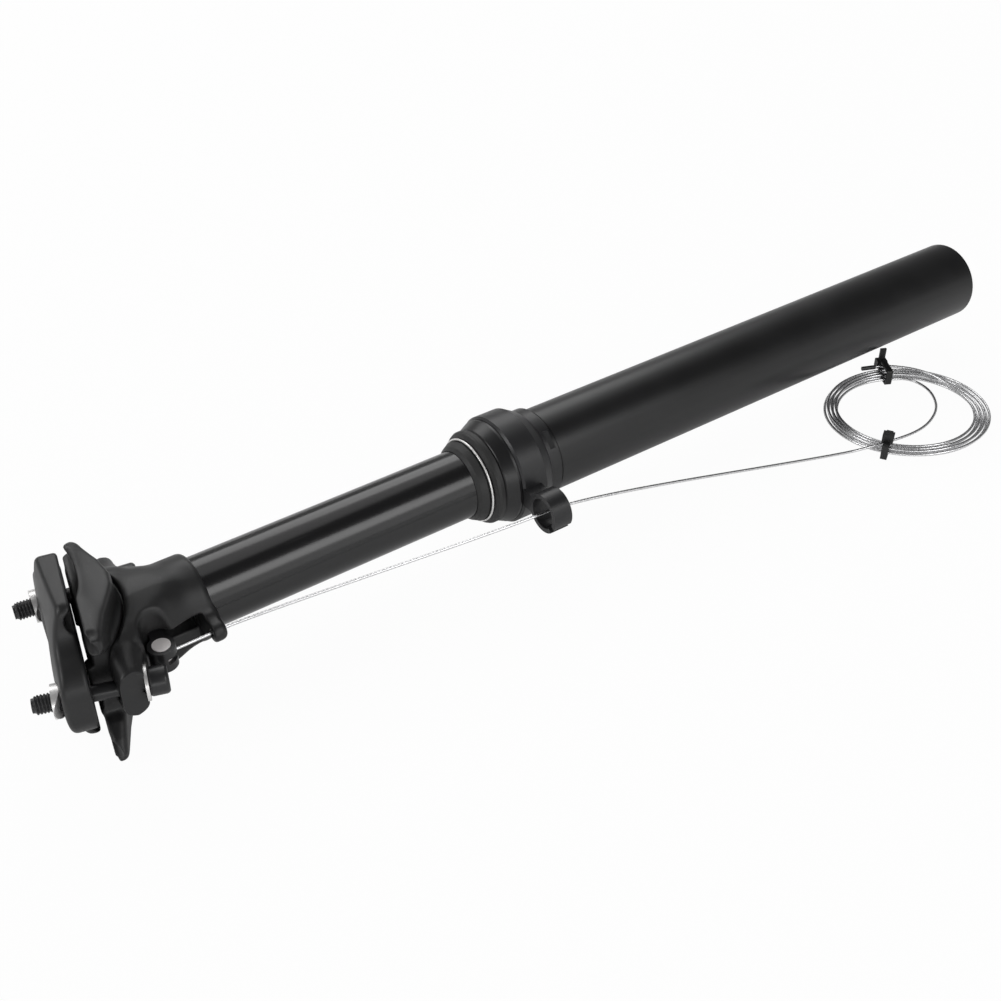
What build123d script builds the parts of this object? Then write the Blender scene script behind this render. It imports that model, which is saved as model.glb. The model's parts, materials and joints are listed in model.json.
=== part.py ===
# Dropper seatpost for a bicycle, lying on its side beside its coiled control cable.
# X runs down the post, -Y is its rear, Z is across the saddle clamp, all in millimetres.
# The origin is on the post axis, where the collar ends and the clamped length of tube starts.
import math
import os

from build123d import *

os.makedirs("parts", exist_ok=True)

# Fits
slip = 0.05          # radial running fit of turned parts
gap = 0.3            # clear space between parts that don't guide each other
overrun = 1.0        # how far a cutting tool runs past the face that it opens

# Outer tube and what closes its lower end
tube_d = 31.6
tube_length = 221.0          # from the collar to the lower end
tube_wall = 1.6
tube_neck_drop = 0.2         # the threaded neck is turned this much smaller in radius
tube_neck_length = 23.8
tube_chamfer = 0.6
plug_length = 10.0
plug_depth = 6.0             # of the plug's lower face inside the tube
plug_socket_d = 20.0
plug_socket_depth = 4.0
clip_width = 1.2
clip_reach = 2.2
clip_groove = 0.5
clip_opening = 9.0
rod_nut_flats = 13.0
rod_nut_length = 5.0

# Stanchion
travel = 100.0
stanchion_d = 25.0
stanchion_wall = 1.8
stanchion_chamfer = 0.5
stop_gap = 1.0               # between head and wiper when fully dropped
stanchion_tail = 62.0        # below the origin when extended

# Guide bushings and anti-rotation keys
bushing_top_length = 31.0
bushing_foot_length = 20.0
bushing_foot_from_end = 3.0
key_count = 3
key_r = 1.2
key_length = 12.0
key_from_end = 31.0
key_sink = 0.4
key_groove_margin = 10.0

# Wiper seal and its garter ring
wiper_lip_wall = 0.8
wiper_lip_round = 1.2
wiper_cone_r = 15.1
wiper_cone_length = 3.4
wiper_seat_r = 14.4
wiper_seat_length = 2.0
garter_r = 0.68
wiper_flange_r = 17.5
wiper_flange_length = 3.7
wiper_flange_round = 0.9
wiper_spigot_length = 1.7
wiper_spigot_r = 14.0
wiper_spigot_gap = 0.4

# Collar cap
cap_nose_r = 16.9
cap_shoulder_r = 19.3
cap_nose_length = 4.45
cap_shoulder_length = 0.9
cap_sleeve_r = 17.0
cap_round = 0.5

# Cable guide ring, with its open loop for the cable
ring_r = 20.2
ring_step = 0.2              # from the cap's shoulder to the ring
ring_shoulder_gap = 1.6      # from the ring to the tube's own shoulder
ring_foot_length = 5.0
ring_cone_length = 3.8
ring_seat_length = 6.4
ring_lip_r = 17.2
ring_round = 0.8
ring_notch_angle = 40.0
ring_notch_width = 7.0
ring_notch_length = 3.2
loop_out = 30.6              # of the loop's centre from the post axis
loop_r = 7.4
loop_bore_r = 5.7
loop_length = 7.4
loop_mouth = 2.4
loop_mouth_angle = 215.0
loop_web = 7.0

# Saddle clamp: it tilts about a cross axis that is the centre of its round seat
neck_length = 55.0           # from the tilt axis to the head's lower end
tilt_y = 4.0
lean = 13.0                  # of the clamp normal, from the post axis towards the front
seat_r = 30.0
rail_spacing = 44.0
rail_groove_r = 3.6
rail_depth = 16.5            # of the rail centres below the tilt axis
tilt_limit = 5.0

# Lower cradle
cradle_rim = 18.2            # of the wings' rims below the tilt axis
cradle_web_u = 17.0
cradle_web_z = 14.0
cradle_web_top = 20.4
wing_inner_z = 12.7
wing_outer_z = 27.4
wing_front_u = 22.4
wing_rear_u = 31.0
wing_tip = 2.8
wing_nose_u = 13.6
wing_nose_drop = 23.8
wing_keel_u = 0.0
wing_keel_drop = 28.9
wing_tail_u = 15.0
wing_tail_drop = 25.0
wing_end_r = 5.8             # of the wings' ends, seen along the clamp's normal
wing_corner = 1.1
wing_round = 1.2
lip_scoop_r = 22.0
lip_scoop_u = 2.0
lip_scoop_depth = 3.6
lip_z = 24.6

# Upper clamp
top_under = 15.0
top_over = 5.8
top_wing_z = 27.3
top_wing_front = 14.6
top_wing_rear = 14.2
top_wing_waist_z = 17.0
top_lobe_r = 8.2
top_round = 2.6

# Clamp bolts, nuts and washers
bolt_d = 6.0
bolt_spacing = 44.0
bolt_splay = 5.0
bolt_tip = 1.8               # above the tilt axis level
bolt_seat = 31.2             # of the washers below the tilt axis level
bolt_head_d = 9.2
bolt_head_length = 6.0
bolt_key_flats = 5.0
bolt_key_depth = 3.0
washer_d = 11.4
washer_t = 1.0
nut_d = 10.8
nut_seat_r = 6.9
nut_top = 4.2
nut_slip = 0.3

# Head
ear_hole_r = 3.3
ear_rim_u = 24.4
ear_rim_v = 22.4
ear_nose_u = 30.2
ear_nose_v = 26.6
ear_pad = 4.6                # of flat underside inside each bolt
ear_corner = 1.2
yoke_z = 12.0
ear_z = 6.0
shoulder_u = 17.0
plan_corner = 4.0
belly_gap = 1.2              # between the cradle's wings and the head under them
head_r = 14.8
head_round = 1.6
yoke_round = 1.0
socket_depth = 3.4
spigot_length = 21.0
spigot_bore_r = 7.8
cavity_top_gap = 2.8         # below the cradle's round seat
cavity_end_gap = 4.8         # above the head's lower end
cavity_z = 4.5
cavity_front_y = 12.6
notch_y = -9.4               # the rear of the neck is cut flat below the lever
neck_half = 8.4
neck_lead = 7.2              # from the cavity's upper end to where the neck is round
cable_y = -19.0              # of the cable where it crosses the head
stop_length = 5.6
stop_r = 3.3
stop_round = 1.2
stop_hole_r = 1.0
stop_cup_r = 2.2
stop_cup_depth = 2.4

# Actuator lever, its pin, the cable nipple and the valve pin
pivot_drop = 4.8             # below the cavity's upper end
pivot_y = 8.6
pivot_r = 2.0
pivot_length = 21.0
lever_hub_r = 3.7
lever_bar = 4.6
lever_z = 3.9
eye_drop = 1.4
eye_r = 4.4
nipple_r = 2.9
nipple_z = 4.2
lever_slot_z = 1.0
eye_clearance = 0.8
nose_r = 2.6
nose_drop = 6.4
lever_pull = 10.0
valve_pin_r = 2.0
valve_pin_head_r = 3.0
valve_pin_head_length = 1.6
valve_pin_length = 9.0

# Gas cartridge
cartridge_r = 10.2
cartridge_neck_r = 7.7
cartridge_end_x = 30.0
cartridge_bore_r = 8.4
cartridge_bore_length = 112.0
cartridge_cap_length = 12.0
rod_r = 4.0
rod_inside = 10.0
piston_r = 8.2
piston_length = 6.0

# Control cable
cable_r = 0.55
floor_z = -27.6
loop_cable_rise = 0.0
nipple_start = 0.5           # of the wire inside the nipple
cable_exit = 8.0
cable_bend_x = 13.7          # of the upper run's bend from the loop
cable_bend_y = 0.25
cable_fall_x = 12.9          # of the lower run's first bend from the loop
cable_fall_y = 0.4
coil_x = 161.6
coil_y = -38.0
coil_outer_r = 34.0          # along the oval's long axis
coil_inner_r = 28.1
coil_cross_share = 0.893     # of the oval's width in its length
coil_long_angle = -20.0      # of the long axis, towards the side where the turns spread
coil_spread = 0.6
coil_start_angle = 80.0      # this and the ties' angles are from the long axis
coil_layers = 2
coil_layer_turns = 3.16
coil_climb_turns = 0.5
coil_cross_turns = 0.2       # in which the end crosses over the turns
coil_lift_turns = 0.065
coil_bulge_share = 0.12      # of the coil's width, where it climbs
coil_cross_steps = 4
coil_step = 1.65             # between its layers
coil_bed = 1.9               # from the surface up to the lower layer's wire
coil_steps_per_turn = 4
coil_arrival = 6.8           # straight length before the coil
tie_thickness = 0.9
tie_width = 2.6
tie_gap = 0.35
tie_corner = 0.8
tie_lock = 3.4
tie_lock_length = 4.4
tie_tail = 3.8
tie_stub = 0.8
tie_angle_upper = 82.0
tie_angle_lower = 229.5
ferrule_r = 0.9
ferrule_length = 6.0
coil_probe = 0.001
cord_arc_share = 0.45

# Way of the cable into the coil and round its small inner turn,
# from the coil's centre and the surface
coil_lead = [
    (-48.6, -7.6, 5.4), (-33.1, -11.3, 5.2), (-9.3, -15.4, 5.2), (8.9, -8.4, 3.6),
    (18.6, 1.6, 2.3), (21.6, 10.4, 1.9),
]

# Derived sizes
tube_r = tube_d / 2
tube_bore_r = tube_r - tube_wall
tube_neck_r = tube_r - tube_neck_drop
stanchion_r = stanchion_d / 2
stanchion_bore_r = stanchion_r - stanchion_wall
guide_r = stanchion_r + slip
bushing_r = tube_bore_r - slip
wiper_flange_end_x = -tube_neck_length - wiper_spigot_length - wiper_spigot_gap
wiper_flange_x = wiper_flange_end_x - wiper_flange_length
wiper_cone_x = wiper_flange_x - wiper_seat_length
wiper_lip_x = wiper_cone_x - wiper_cone_length
neck_face_x = wiper_flange_end_x + slip
cap_shoulder_x = neck_face_x + cap_nose_length
ring_top_x = cap_shoulder_x + cap_shoulder_length + ring_step
ring_end_x = -ring_shoulder_gap
ring_cone_x = ring_end_x - ring_foot_length
ring_band_end_x = ring_cone_x - ring_cone_length
cap_end_x = ring_end_x - ring_seat_length
loop_top_x = ring_top_x
loop_end_x = loop_top_x + loop_length
loop_middle_x = loop_top_x + loop_length / 2
loop_cable_y = -loop_out + loop_cable_rise
head_end_x = wiper_lip_x - travel - stop_gap
tilt_x = head_end_x - neck_length
cavity_top_x = tilt_x + seat_r + cavity_top_gap
cavity_end_x = head_end_x - cavity_end_gap
neck_x = cavity_top_x + neck_lead
pivot_x = cavity_top_x + pivot_drop
eye_x = cavity_top_x + eye_drop
nose_x = cavity_top_x + nose_drop
plug_end_x = tube_length - plug_depth
plug_top_x = plug_end_x - plug_length
clip_x = plug_end_x + slip
stanchion_top_x = head_end_x - socket_depth
bushing_foot_x = stanchion_tail - bushing_foot_from_end - bushing_foot_length
key_x = stanchion_tail - key_from_end - key_length
key_ring_r = stanchion_r - key_sink + key_r
spigot_end_x = stanchion_top_x + spigot_length
cartridge_top_x = cavity_end_x
cartridge_shoulder_x = spigot_end_x + gap
rod_top_x = cartridge_end_x - cartridge_cap_length - rod_inside
lower_wire_z = floor_z + coil_bed

# Directions of the clamp: along the rails, and outwards through the saddle
lean_rad = math.radians(lean)
along = Vector(math.sin(lean_rad), math.cos(lean_rad), 0)
outward = Vector(-math.cos(lean_rad), math.sin(lean_rad), 0)
tilt_axis = Vector(tilt_x, tilt_y, 0)

# The coil's centre and the directions of its two axes
coil_centre = Vector(coil_x, coil_y, 0)
long_way = Vector(1, 0, 0).rotate(Axis.Z, coil_long_angle)
cross_way = Vector(0, 1, 0).rotate(Axis.Z, coil_long_angle)


def clamp_point(u, v, z=0):
    # u runs along the rails towards the front, v outwards from the tilt axis
    return tilt_axis + along * u + outward * v + Vector(0, 0, z)


def rod_between(start, end, radius):
    direction = end - start
    return Plane(origin=start, z_dir=direction) * Cylinder(
        radius, direction.length, align=(Align.CENTER, Align.CENTER, Align.MIN)
    )


def turned(points):
    # a ring or tube turned about the post axis, from (x, radius) points
    return revolve(make_face(Polyline(*points, close=True)), Axis.X)


def on_axis(x0, x1, radius):
    return rod_between(Vector(x0, 0, 0), Vector(x1, 0, 0), radius)


def prism(points, z0, z1):
    flat = make_face(Polyline(*[Vector(p.X, p.Y, z0) for p in points], close=True))
    return extrude(flat, z1 - z0, dir=(0, 0, 1))


def save(name, shape, note=""):
    solids = shape.solids()
    print(name, len(solids), "solid(s)", round(sum(s.volume for s in solids), 2), note)
    body = solids[0] if len(solids) == 1 else Compound(children=list(solids))
    export_step(body, f"parts/{name}.step")
    return shape


def make_outer_tube():
    tube = turned([
        (-tube_neck_length, tube_bore_r),
        (-tube_neck_length, tube_neck_r),
        (0, tube_neck_r),
        (0, tube_r),
        (tube_length - tube_chamfer, tube_r),
        (tube_length, tube_r - tube_chamfer),
        (tube_length, tube_bore_r),
    ])
    groove_start = bushing_top_length - tube_neck_length + overrun
    groove_end = stanchion_tail + travel - key_from_end + key_groove_margin
    for i in range(key_count):
        angle = 2 * math.pi * i / key_count
        centre = Vector(0, key_ring_r * math.cos(angle), key_ring_r * math.sin(angle))
        tube -= rod_between(
            centre + Vector(groove_start, 0, 0), centre + Vector(groove_end, 0, 0), key_r + slip
        )
    tube -= on_axis(clip_x - slip, clip_x + clip_width + slip, tube_bore_r + clip_groove + slip)
    return tube


def make_plug():
    plug = on_axis(plug_top_x, plug_end_x, tube_bore_r - slip)
    plug -= on_axis(plug_top_x - overrun, plug_end_x + overrun, rod_r + slip)
    return plug - on_axis(plug_top_x - overrun, plug_top_x + plug_socket_depth, plug_socket_d / 2)


def make_clip():
    clip = on_axis(clip_x, clip_x + clip_width, tube_bore_r + clip_groove)
    clip -= on_axis(clip_x - overrun, clip_x + clip_width + overrun, tube_bore_r - clip_reach)
    mouth = Box(clip_width + 2 * overrun, tube_d, clip_opening)
    return clip - Pos(clip_x, -tube_r, 0) * mouth


def make_rod_nut():
    hexagon = Plane(origin=(plug_end_x, 0, 0), z_dir=(1, 0, 0)) * RegularPolygon(
        rod_nut_flats / 2, 6, major_radius=False
    )
    nut = extrude(hexagon, rod_nut_length)
    return nut - on_axis(plug_end_x - overrun, tube_length + overrun, rod_r + slip)


def make_bushing_top():
    start = -tube_neck_length + gap
    return on_axis(start, start + bushing_top_length, bushing_r) - on_axis(
        start - overrun, start + bushing_top_length + overrun, guide_r
    )


def make_wiper():
    spigot_x = wiper_flange_end_x + wiper_spigot_length
    return turned([
        (wiper_lip_x, guide_r),
        (wiper_lip_x, guide_r + wiper_lip_wall - wiper_lip_round / 2),
        (wiper_lip_x + wiper_lip_round, guide_r + wiper_lip_wall + wiper_lip_round / 2),
        (wiper_cone_x, wiper_cone_r),
        (wiper_cone_x + wiper_lip_round / 6, wiper_seat_r),
        (wiper_flange_x, wiper_seat_r),
        (wiper_flange_x, wiper_cone_r + wiper_flange_round / 2),
        (wiper_flange_x + wiper_flange_round, wiper_flange_r - wiper_flange_round / 2),
        (wiper_flange_x + 2 * wiper_flange_round, wiper_flange_r),
        (wiper_flange_end_x - wiper_flange_round / 2, wiper_flange_r),
        (wiper_flange_end_x, wiper_flange_r - wiper_flange_round),
        (wiper_flange_end_x, wiper_spigot_r),
        (spigot_x, wiper_spigot_r),
        (spigot_x, guide_r),
    ])


def make_garter():
    ring_x = (wiper_cone_x + wiper_lip_round / 6 + wiper_flange_x) / 2
    return Plane(origin=(ring_x, 0, 0), z_dir=(1, 0, 0)) * Torus(
        wiper_seat_r + slip + garter_r, garter_r
    )


def make_cap():
    return turned([
        (neck_face_x, wiper_spigot_r + slip),
        (neck_face_x, cap_nose_r),
        (neck_face_x + cap_round, cap_nose_r + cap_round),
        (cap_shoulder_x, cap_shoulder_r),
        (cap_shoulder_x + cap_shoulder_length, cap_shoulder_r),
        (cap_shoulder_x + cap_shoulder_length, cap_sleeve_r),
        (cap_end_x, cap_sleeve_r),
        (cap_end_x, tube_neck_r + slip),
        (-tube_neck_length - slip, tube_neck_r + slip),
        (-tube_neck_length - slip, wiper_spigot_r + slip),
    ])


def make_guide_ring():
    ring = turned([
        (ring_top_x, cap_sleeve_r + slip),
        (ring_top_x, ring_r - ring_round),
        (ring_top_x + ring_round, ring_r),
        (ring_band_end_x, ring_r),
        (ring_cone_x, ring_lip_r + ring_round),
        (ring_cone_x + ring_round, ring_lip_r),
        (ring_end_x, ring_lip_r),
        (ring_end_x, tube_neck_r + slip),
        (cap_end_x + slip, tube_neck_r + slip),
        (cap_end_x + slip, cap_sleeve_r + slip),
    ])
    notch = Box(ring_notch_length, ring_notch_width, ring_lip_r)
    ring -= Rot(ring_notch_angle, 0, 0) * Pos(
        ring_end_x - ring_notch_length / 2 + overrun / 2, 0, tube_r + gap + ring_lip_r / 2
    ) * notch
    centre_top = Vector(loop_top_x, -loop_out, 0)
    centre_end = Vector(loop_end_x, -loop_out, 0)
    ear = rod_between(centre_top, centre_end, loop_r)
    web = Pos(loop_middle_x, -(ring_r + loop_out) / 2, 0) * Box(
        loop_length, loop_out - ring_r + loop_r, loop_web
    )
    joined = ring + (ear + web - on_axis(loop_top_x - overrun, loop_end_x + overrun, ring_r - ring_round))
    reach = Vector(overrun, 0, 0)
    joined -= rod_between(centre_top - reach, centre_end + reach, loop_bore_r)
    slot = Pos(0, loop_r, 0) * Box(loop_length + 2 * overrun, loop_r, loop_mouth)
    return joined - Pos(loop_middle_x, -loop_out, 0) * (Rot(loop_mouth_angle, 0, 0) * slot)


def make_stanchion():
    tube = turned([
        (stanchion_top_x, stanchion_bore_r),
        (stanchion_top_x, stanchion_r),
        (stanchion_tail - stanchion_chamfer, stanchion_r),
        (stanchion_tail, stanchion_r - stanchion_chamfer),
        (stanchion_tail, stanchion_bore_r),
    ])
    return tube - [
        rod_between(c - Vector(slip, 0, 0), c + Vector(key_length + slip, 0, 0), key_r + slip)
        for c in key_centres()
    ]


def key_centres():
    angles = [2 * math.pi * i / key_count for i in range(key_count)]
    return [Vector(key_x, key_ring_r * math.cos(a), key_ring_r * math.sin(a)) for a in angles]


def make_keys():
    return Compound(children=[
        rod_between(c, c + Vector(key_length, 0, 0), key_r) for c in key_centres()
    ])


def make_bushing_foot():
    end = bushing_foot_x + bushing_foot_length
    return on_axis(bushing_foot_x, end, bushing_r) - on_axis(
        bushing_foot_x - overrun, end + overrun, guide_r
    )


def make_cartridge():
    body = on_axis(cartridge_top_x, cartridge_shoulder_x + overrun, cartridge_neck_r)
    body += on_axis(cartridge_shoulder_x, cartridge_end_x, cartridge_r)
    inner_end = cartridge_end_x - cartridge_cap_length
    body -= on_axis(inner_end - cartridge_bore_length, inner_end, cartridge_bore_r)
    body -= on_axis(inner_end - overrun, cartridge_end_x + overrun, rod_r + slip)
    pin_hole = valve_pin_length + lever_travel() + overrun
    return body - on_axis(cartridge_top_x - overrun, cartridge_top_x + pin_hole, valve_pin_r + slip)


def make_rod():
    rod = on_axis(rod_top_x, plug_end_x + rod_nut_length, rod_r)
    return rod + on_axis(rod_top_x, rod_top_x + piston_length, piston_r)


def lever_travel():
    # how far the lever's nose pushes the valve pin over its full pull
    return math.radians(lever_pull) * pivot_y


def bolt_axis(side):
    # a bolt's nut centre and its direction down into the head, for side 1 (front) or -1 (rear)
    angle = lean_rad - side * math.radians(bolt_splay)
    centre = clamp_point(side * bolt_spacing / 2, 0)
    return centre, Vector(math.cos(angle), -math.sin(angle), 0)


def on_bolt(side, start, end, radius):
    centre, down = bolt_axis(side)
    return rod_between(centre + down * start, centre + down * end, radius)


def make_bolt(side):
    seat = bolt_seat + washer_t + slip
    bolt = on_bolt(side, -bolt_tip, seat, bolt_d / 2)
    bolt += on_bolt(side, seat, seat + bolt_head_length, bolt_head_d / 2)
    centre, down = bolt_axis(side)
    end = centre + down * (seat + bolt_head_length)
    key = Plane(origin=end, z_dir=-down) * RegularPolygon(bolt_key_flats / 2, 6, major_radius=False)
    return bolt - extrude(key, bolt_key_depth)


def make_washer(side):
    disc = on_bolt(side, bolt_seat + slip, bolt_seat + slip + washer_t, washer_d / 2)
    return disc - on_bolt(side, bolt_seat - overrun, bolt_seat + washer_t + overrun, bolt_d / 2 + slip)


def make_nut(side):
    # its round underside rocks in the upper clamp about the tilt axis level
    nut = on_bolt(side, nut_top, nut_seat_r + overrun, nut_d / 2)
    rocker = Pos(*clamp_point(side * bolt_spacing / 2, 0)) * Cylinder(nut_seat_r, nut_d + 2 * overrun)
    return (nut & rocker) - on_bolt(side, 0, nut_seat_r + 2 * overrun, bolt_d / 2 + nut_slip)


def make_upper_clamp():
    half = bolt_spacing / 2
    plan = [
        (top_wing_front, top_wing_z), (half - top_lobe_r / 2, top_wing_waist_z),
        (half + top_lobe_r, top_lobe_r / 2), (half + top_lobe_r, -top_lobe_r / 2),
        (half - top_lobe_r / 2, -top_wing_waist_z), (top_wing_front, -top_wing_z),
        (-top_wing_rear, -top_wing_z), (-half + top_lobe_r / 2, -top_wing_waist_z),
        (-half - top_lobe_r, -top_lobe_r / 2), (-half - top_lobe_r, top_lobe_r / 2),
        (-half + top_lobe_r / 2, top_wing_waist_z), (-top_wing_rear, top_wing_z),
    ]
    base = Plane(origin=clamp_point(0, -top_under), x_dir=along, z_dir=outward)
    outline = make_face(Polyline(*[(u, z) for u, z in plan], close=True))
    outline = fillet(outline.vertices(), top_round)
    clamp = extrude(base * outline, top_under - top_over)
    upper = clamp.faces().sort_by(lambda f: (f.center() - tilt_axis).dot(outward))[-1]
    clamp = fillet(upper.outer_wire().edges(), top_round)
    for z in (-rail_spacing / 2, rail_spacing / 2):
        clamp -= rod_between(
            clamp_point(-rail_spacing, -rail_depth, z), clamp_point(rail_spacing, -rail_depth, z),
            rail_groove_r,
        )
    for side in (-1, 1):
        centre = clamp_point(side * half, 0)
        pocket = on_bolt(side, -overrun, nut_seat_r + overrun, nut_d / 2 + gap)
        pocket &= Pos(*centre) * Cylinder(nut_seat_r + slip, nut_d + 2 * overrun)
        clamp -= pocket
        sway = top_under * math.radians(tilt_limit) + gap
        slot = on_bolt(side, 0, top_under + overrun, (bolt_d + sway) / 2 + slip)
        for shift in (-sway / 2, 0, sway / 2):
            clamp -= Pos(*(along * shift)) * slot
    return clamp


def make_cradle():
    seat = Pos(*tilt_axis) * Cylinder(seat_r, 2 * cradle_web_z)
    web = [
        clamp_point(-cradle_web_u, -cradle_web_top), clamp_point(cradle_web_u, -cradle_web_top),
        clamp_point(cradle_web_u, -seat_r - overrun), clamp_point(-cradle_web_u, -seat_r - overrun),
    ]
    cradle = prism(web, -cradle_web_z - overrun, cradle_web_z + overrun) & seat
    for side in (-1, 1):
        cradle += make_wing(side)
    for z in (-rail_spacing / 2, rail_spacing / 2):
        cradle -= rod_between(
            clamp_point(-seat_r * 2, -rail_depth, z), clamp_point(seat_r * 2, -rail_depth, z), rail_groove_r
        )
    return cradle


def make_wing(side):
    front_top = clamp_point(wing_front_u, -cradle_rim)
    front_low = clamp_point(wing_front_u, -cradle_rim - wing_tip)
    nose = clamp_point(wing_nose_u, -wing_nose_drop)
    keel = clamp_point(wing_keel_u, -wing_keel_drop)
    tail = clamp_point(-wing_tail_u, -wing_tail_drop)
    rear_low = clamp_point(-wing_rear_u, -cradle_rim - wing_tip)
    rear_top = clamp_point(-wing_rear_u, -cradle_rim)
    edge = [
        Line(rear_top, front_top), Line(front_top, front_low),
        Spline(front_low, nose, keel, tail, rear_low), Line(rear_low, rear_top),
    ]
    face = make_face(Wire(edge))
    corners = face.vertices().sort_by(Axis.Y)
    face = Pos(0, 0, wing_inner_z) * fillet(corners[:2] + corners[-2:], wing_corner)
    wing = extrude(face, wing_outer_z - wing_inner_z, dir=(0, 0, 1))
    outer = wing.faces().sort_by(Axis.Z)[-1]
    wing = fillet(outer.outer_wire().edges(), wing_round)
    plan = RectangleRounded(wing_front_u + wing_rear_u, wing_outer_z - wing_inner_z, wing_end_r)
    middle = clamp_point((wing_front_u - wing_rear_u) / 2, 0, (wing_inner_z + wing_outer_z) / 2)
    wing &= extrude(Plane(origin=middle, x_dir=along, z_dir=-outward) * plan, 2 * seat_r)
    scoop = clamp_point(lip_scoop_u, -cradle_rim + lip_scoop_r - lip_scoop_depth)
    wing -= Pos(scoop.X, scoop.Y, lip_z + lip_scoop_r) * Cylinder(lip_scoop_r, 2 * lip_scoop_r)
    return wing if side > 0 else mirror(wing, Plane.XY)


def ear_edge(side, offset):
    # a point on an ear's flat underside, offset towards the front from its bolt
    centre, down = bolt_axis(side)
    return centre + down * bolt_seat + Vector(-down.Y, down.X, 0) * offset


def make_yoke():
    profile = [
        clamp_point(-ear_rim_u, -ear_rim_v), clamp_point(-ear_nose_u, -ear_nose_v),
        ear_edge(-1, -washer_d / 2), ear_edge(-1, ear_pad),
        Vector(cavity_top_x, -head_r, 0), Vector(neck_x, -neck_half, 0),
        Vector(neck_x, neck_half, 0), Vector(pivot_x - lever_bar, head_r, 0),
        ear_edge(1, -ear_pad), ear_edge(1, washer_d / 2),
        clamp_point(ear_nose_u, -ear_nose_v), clamp_point(ear_rim_u, -ear_rim_v),
    ]
    side_view = make_face(Polyline(*[Vector(p.X, p.Y, -yoke_z) for p in profile], close=True))
    blank = extrude(fillet(side_view.vertices(), ear_corner), 2 * yoke_z, dir=(0, 0, 1))
    half = [
        (ear_nose_u + overrun, ear_z), (shoulder_u, yoke_z), (-shoulder_u, yoke_z),
        (-ear_nose_u - overrun, ear_z), (-ear_nose_u - overrun, -ear_z), (-shoulder_u, -yoke_z),
        (shoulder_u, -yoke_z), (ear_nose_u + overrun, -ear_z),
    ]
    plan = fillet(make_face(Polyline(*half, close=True)).vertices(), plan_corner)
    base = Plane(origin=clamp_point(0, 0), x_dir=along, z_dir=-outward)
    blank &= extrude(base * plan, 2 * seat_r)
    return fillet(blank.edges(), yoke_round)


def make_head():
    head = make_yoke()
    socket = on_axis(cavity_top_x, head_end_x, head_r)
    mouth = socket.faces().sort_by(Axis.X)[-1]
    head += fillet(mouth.edges(), head_round)
    head += on_axis(cavity_end_x, spigot_end_x, stanchion_bore_r - slip)
    head -= Pos(*tilt_axis) * Cylinder(seat_r + slip, 2 * (yoke_z + head_r))
    clear = Pos(*tilt_axis) * Cylinder(seat_r + belly_gap, 2 * head_r)
    head -= clear - Pos(*tilt_axis) * Cylinder(seat_r + 2 * belly_gap, 2 * yoke_z)
    seat_ring = on_axis(stanchion_top_x - slip, head_end_x + overrun, guide_r)
    head -= seat_ring - on_axis(stanchion_top_x - overrun, spigot_end_x, stanchion_bore_r - slip)
    cavity = Box(
        cavity_end_x - cavity_top_x, cavity_front_y + 2 * head_r, 2 * cavity_z,
        align=(Align.MIN, Align.MAX, Align.CENTER),
    )
    head -= Pos(cavity_top_x, cavity_front_y, 0) * cavity
    notch = Box(
        cavity_end_x - cavity_top_x, head_r, head_r + cavity_z,
        align=(Align.MIN, Align.MAX, Align.MAX),
    )
    head -= Pos(cavity_top_x, notch_y, cavity_z) * notch
    head -= Pos(eye_x, cable_y, 0) * Cylinder(eye_r + eye_clearance, 2 * cavity_z)
    head -= on_axis(cavity_end_x - overrun, spigot_end_x + overrun, spigot_bore_r)
    head -= Pos(pivot_x, pivot_y, 0) * Cylinder(pivot_r + slip, 2 * (yoke_z + overrun))
    reach = Vector(eye_x - pivot_x, cable_y - pivot_y, 0)
    across = Vector(-reach.Y, reach.X, 0).normalized() * (lever_bar / 2 + gap)
    ends = Vector(pivot_x, pivot_y, 0), Vector(eye_x, cable_y, 0)
    sides = [ends[0] + across, ends[1] + across, ends[1] - across, ends[0] - across]
    head -= prism(sides, -cavity_z, cavity_z)
    for side in (-1, 1):
        head -= on_bolt(side, seat_r / 2, bolt_seat + overrun, ear_hole_r)
        head -= on_bolt(side, bolt_seat, bolt_seat + washer_t + bolt_head_length, washer_d / 2 + gap)
    wire_start = Vector(head_end_x - stop_length, cable_y, 0)
    wire_end = Vector(head_end_x, cable_y, 0)
    stop = rod_between(wire_start, wire_end, stop_r)
    stop += Pos(head_end_x, cable_y, 0) * Box(
        stop_length, -cable_y, 2 * stop_r, align=(Align.MAX, Align.MIN, Align.CENTER)
    )
    stop = fillet(stop.edges().filter_by(GeomType.CIRCLE), stop_round)
    head += stop - on_axis(head_end_x - stop_length - overrun, head_end_x + overrun, guide_r)
    wire_start -= Vector(overrun, 0, 0)
    wire_end += Vector(overrun, 0, 0)
    head -= rod_between(wire_start, wire_end, stop_hole_r)
    return head - rod_between(wire_end - Vector(stop_cup_depth + overrun, 0, 0), wire_end, stop_cup_r)


def make_lever():
    pivot = Vector(pivot_x, pivot_y, 0)
    eye = Vector(eye_x, cable_y, 0)
    run = (eye - pivot).normalized()
    across = Vector(-run.Y, run.X, 0) * (lever_bar / 2)
    bar = prism([pivot + across, eye + across, eye - across, pivot - across], -lever_z, lever_z)
    lever = bar + Pos(*pivot) * Cylinder(lever_hub_r, 2 * lever_z)
    lever += Pos(*eye) * Cylinder(eye_r, 2 * lever_z)
    lever += Pos(nose_x, 0, 0) * Cylinder(nose_r, 2 * lever_z)
    lever -= Pos(*pivot) * Cylinder(pivot_r + slip, 2 * (lever_z + overrun))
    lever -= Pos(*eye) * Cylinder(nipple_r + slip, 2 * (lever_z + overrun))
    slot = Box(2 * eye_r, 2 * eye_r, 2 * lever_slot_z, align=(Align.MIN, Align.CENTER, Align.CENTER))
    return lever - Pos(*eye) * slot


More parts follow.
